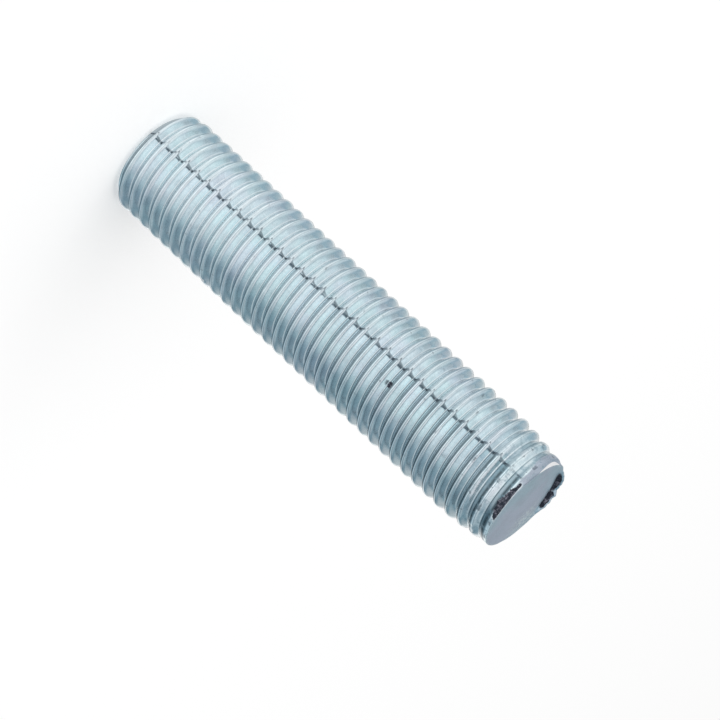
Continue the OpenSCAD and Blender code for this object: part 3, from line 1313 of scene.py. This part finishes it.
@dataclass(frozen=True)
class PhotoCamera:
    """The camera, at the photograph's viewing angle."""

    place: tuple = (0.002 * MM, -339.7 * MM, 161.425 * MM)
    heading_deg: float = 0.177
    pitch_deg: float = -19.553
    roll_deg: float = -133.235
    lens: float = 139.69

    def build(self) -> None:
        """Makes the camera: it looks along its heading and pitch, then rolls about that line."""
        heading, pitch, roll = (math.radians(x) for x in (self.heading_deg, self.pitch_deg, self.roll_deg))
        ahead = Vector(
            (math.sin(heading) * math.cos(pitch), math.cos(heading) * math.cos(pitch), math.sin(pitch))
        )
        right = ahead.cross(Vector((0.0, 0.0, 1.0))).normalized()
        over = right.cross(ahead)
        up = over * math.cos(roll) + right * math.sin(roll)
        side = ahead.cross(up)
        turn = Matrix((side, up, -ahead)).transposed().to_4x4()
        data = bpy.data.cameras.new("photo_camera")
        data.lens = self.lens
        data.clip_start, data.clip_end = 0.01, 50.0
        camera = bpy.data.objects.new("photo_camera", data)
        camera.matrix_world = Matrix.Translation(self.place) @ turn
        bpy.context.scene.collection.objects.link(camera)
        bpy.context.scene.camera = camera


@dataclass
class Studio:
    """White floor, soft lamp, and a light tent that only the metal's reflections see."""

    tent_r: float = 2.5
    tent_rings: int = 32
    tent_columns: int = 64
    floor_r: float = 12.0
    lamp_w: float = 1.6
    lamp_power: float = 12.0
    lamp_place: tuple = (-0.5, -0.6, 1.8)
    light_share: float = 0.6
    floor_glow: float = 0.35
    cap: tuple = rgba(0.715, 0.73, 0.77)

    # Cards of the tent by height: compass angle (0 is -Y, 90 is -X), lightness and blueness
    LOW_CARDS = (
        (-180, 0.45, 0.08), (-137, 0.26, 0.11), (-112, 0.15, 0.14), (-86, 0.24, 0.15),
        (-67, 0.60, 0.15), (-46, 0.98, 0.06), (0, 1.14, 0.06), (30, 1.14, 0.06), (54, 0.98, 0.08),
        (88, 1.22, 0.0), (104, 0.80, 0.14), (121, 0.40, 0.18), (152, 0.54, 0.09), (180, 0.45, 0.08),
    )
    LEVEL_CARDS = (
        (-180, 0.62, 0.0), (-158, 1.06, 0.0), (-140, 0.90, 0.03), (-120, 0.50, 0.19),
        (-90, 0.43, 0.18), (-60, 0.61, 0.13), (-20, 0.92, 0.10), (16, 0.97, 0.15), (48, 0.82, 0.10),
        (73, 0.93, 0.08), (100, 0.80, 0.11), (120, 0.58, 0.09), (156, 0.82, 0.02), (180, 0.62, 0.0),
    )
    HIGH_CARDS = (
        (-180, 0.42, 0.05), (-160, 0.46, 0.07), (-141, 0.17, 0.15), (-120, 0.36, 0.13),
        (-80, 0.50, 0.12), (-20, 0.88, 0.07), (0, 0.96, 0.06), (60, 0.94, 0.06), (100, 0.74, 0.10),
        (136, 0.52, 0.14), (148, 0.30, 0.19), (162, 0.44, 0.11), (180, 0.44, 0.05),
    )
    STEEP_CARDS = (
        (-180, 0.19, 0.16), (-110, 0.22, 0.16), (0, 0.88, 0.07), (60, 0.84, 0.08),
        (110, 0.56, 0.13), (180, 0.52, 0.14),
    )
    # Height of a direction, as the sine of its elevation, over which one band gives way to the next
    LOW_TO_LEVEL = (-0.3, -0.55)
    LEVEL_TO_HIGH = (-0.02, 0.16)
    HIGH_TO_STEEP = (0.55, 0.75)
    STEEP_TO_CAP = (0.8, 0.94)
    GREEN_SHARE = 0.62

    def add(self, name: str, points: list, faces: list, material: bpy.types.Material) -> bpy.types.Object:
        """Adds a piece of the studio, made of points and faces."""
        mesh = bpy.data.meshes.new(name)
        mesh.from_pydata(points, [], faces)
        mesh.materials.append(material)
        piece = bpy.data.objects.new(name, mesh)
        bpy.context.scene.collection.objects.link(piece)
        LOG.info("%s: %d faces", piece.name, len(mesh.polygons))
        return piece

    def world(self) -> None:
        """Plain world: white to the camera and to reflections, and a little less as light."""
        world = bpy.data.worlds.new("studio_world")
        bpy.context.scene.world = world
        world.use_nodes = True
        b = NodeBoard(world.node_tree)
        back = world.node_tree.nodes["Background"]
        b.feed(back, "Color", rgba(1.0, 1.0, 1.0))
        b.feed(back, "Strength", b.math("ADD", b.times(b.seen(), 1.0 - self.light_share), self.light_share))

    def floor(self) -> None:
        """Pale floor that the camera sees as white, less the rod's soft shadow."""
        made, b = new_material("floor_paint")
        shader = made.node_tree.nodes["Principled BSDF"]
        b.feed(shader, "Base Color", rgba(0.8, 0.8, 0.8))
        b.feed(shader, "Roughness", 1.0)
        shader.inputs["Specular IOR Level"].default_value = 0.0
        b.feed(shader, "Emission Color", rgba(1.0, 1.0, 1.0))
        b.feed(shader, "Emission Strength", b.times(b.seen(), self.floor_glow))
        made.cycles.emission_sampling = "NONE"
        r = self.floor_r
        floor = self.add("floor", [(-r, -r, 0), (r, -r, 0), (r, r, 0), (-r, r, 0)], [(0, 1, 2, 3)], made)
        floor.visible_glossy = False

    def tent(self) -> None:
        """Sphere of cards round the rod, toned by direction. Only the metal's reflections see it."""
        rings, cols = self.tent_rings, self.tent_columns
        el = np.radians(np.linspace(-90.0, 90.0, rings))[:, None]
        az = np.radians(np.arange(cols) * 360.0 / cols)[None, :]
        xyz = np.stack([np.cos(el) * np.cos(az), np.cos(el) * np.sin(az), np.sin(el) + 0 * az], -1)
        ids = np.arange(rings * cols).reshape(rings, cols)
        beside = np.roll(ids, -1, 1)
        faces = np.stack([ids[:-1], beside[:-1], beside[1:], ids[1:]], -1)
        points = (xyz.reshape(-1, 3) * self.tent_r).tolist()
        tent = self.add("tent", points, faces.reshape(-1, 4).tolist(), self.tent_material())
        tent.visible_camera = tent.visible_diffuse = tent.visible_shadow = False
        tent.visible_transmission = tent.visible_volume_scatter = False

    def tent_material(self) -> bpy.types.Material:
        """Builds the tent's material.

        Returns:
            Light whose colour follows four rings of cards by compass angle, one above the other,
            with a plain cap at the top.
        """
        made, b = new_material("tent_cards")
        b.tree.nodes.clear()
        unit = b.add("ShaderNodeVectorMath", operation="NORMALIZE")
        b.feed(unit, 0, b.add("ShaderNodeTexCoord").outputs["Object"])
        x, y, z = b.parts(unit.outputs[0])
        turned = b.add("ShaderNodeCombineXYZ")
        b.feed(turned, 0, b.times(y, -1.0))
        b.feed(turned, 1, b.times(x, -1.0))
        compass = b.add("ShaderNodeTexGradient", gradient_type="RADIAL")
        b.feed(compass, 0, turned.outputs[0])
        low, level, high, steep = (
            self.by_angle(b, compass.outputs[0], cards)
            for cards in (self.LOW_CARDS, self.LEVEL_CARDS, self.HIGH_CARDS, self.STEEP_CARDS)
        )
        tone = b.mix(b.ease(z, *self.LOW_TO_LEVEL), level, low)
        tone = b.mix(b.ease(z, *self.LEVEL_TO_HIGH), tone, high)
        tone = b.mix(b.ease(z, *self.HIGH_TO_STEEP), tone, steep)
        tone = b.mix(b.ease(z, *self.STEEP_TO_CAP), tone, self.cap)
        light = b.add("ShaderNodeEmission")
        b.feed(light, "Color", tone)
        b.feed(b.add("ShaderNodeOutputMaterial"), "Surface", light.outputs[0])
        made.cycles.emission_sampling = "NONE"
        return made

    def by_angle(self, b: NodeBoard, compass: object, cards: tuple) -> Socket:
        """Card colours by the compass angle.

        Args:
            b: The board.
            compass: Output of the angle as a share of a turn.
            cards: Angle from -180 to 180, lightness and blueness of each card, in order.

        Returns:
            The colour's output, (light, light + 0.62 blue, light + blue) at each card.
        """
        node = b.add("ShaderNodeValToRGB")
        stops = node.color_ramp.elements
        node.color_ramp.interpolation = "EASE"
        places = [(deg + 180.0) / 360.0 for deg, _, _ in cards]
        stops[0].position, stops[-1].position = places[0], places[-1]
        for place in places[1:-1]:
            stops.new(place)
        for stop, (_, light, blue) in zip(stops, cards):
            stop.color = rgba(light, light + self.GREEN_SHARE * blue, light + blue)
        b.feed(node, 0, compass)
        return node.outputs[0]

    def lamp(self) -> None:
        """One soft lamp overhead."""
        data = bpy.data.lights.new("soft_lamp", "AREA")
        data.shape = "SQUARE"
        data.size = self.lamp_w
        data.energy = self.lamp_power
        lamp = bpy.data.objects.new("soft_lamp", data)
        lamp.location = self.lamp_place
        lamp.rotation_euler = (-Vector(self.lamp_place)).to_track_quat("-Z", "Y").to_euler()
        lamp.visible_glossy = False
        bpy.context.scene.collection.objects.link(lamp)

    def build(self) -> None:
        """Builds the studio."""
        self.world()
        self.floor()
        self.tent()
        self.lamp()


def main() -> None:
    """Builds the camera, the rod and the studio."""
    logging.basicConfig(level=logging.INFO)
    bpy.context.scene.view_settings.view_transform = "Standard"
    PhotoCamera().build()
    low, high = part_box("threaded_rod")
    mounts = {m["name"]: m for m in frame["record"]["mounts"]}
    sizes = ThreadSizes(
        length=mounts["burred_end_face"]["pos_m"][2] / MM,
        nominal_r=mounts["thread"]["dims"]["r_mm"],
        crest_r=(high.x - low.x) / 2.0 / MM,
    )
    rod = ThreadedRod(sizes, TornEnd()).build()
    for made in (ZincPlate(top=sizes.length * MM).material(), ShearedSteel().material()):
        rod.data.materials.append(made)
    Studio().build()


if __name__ == "__main__":
    main()
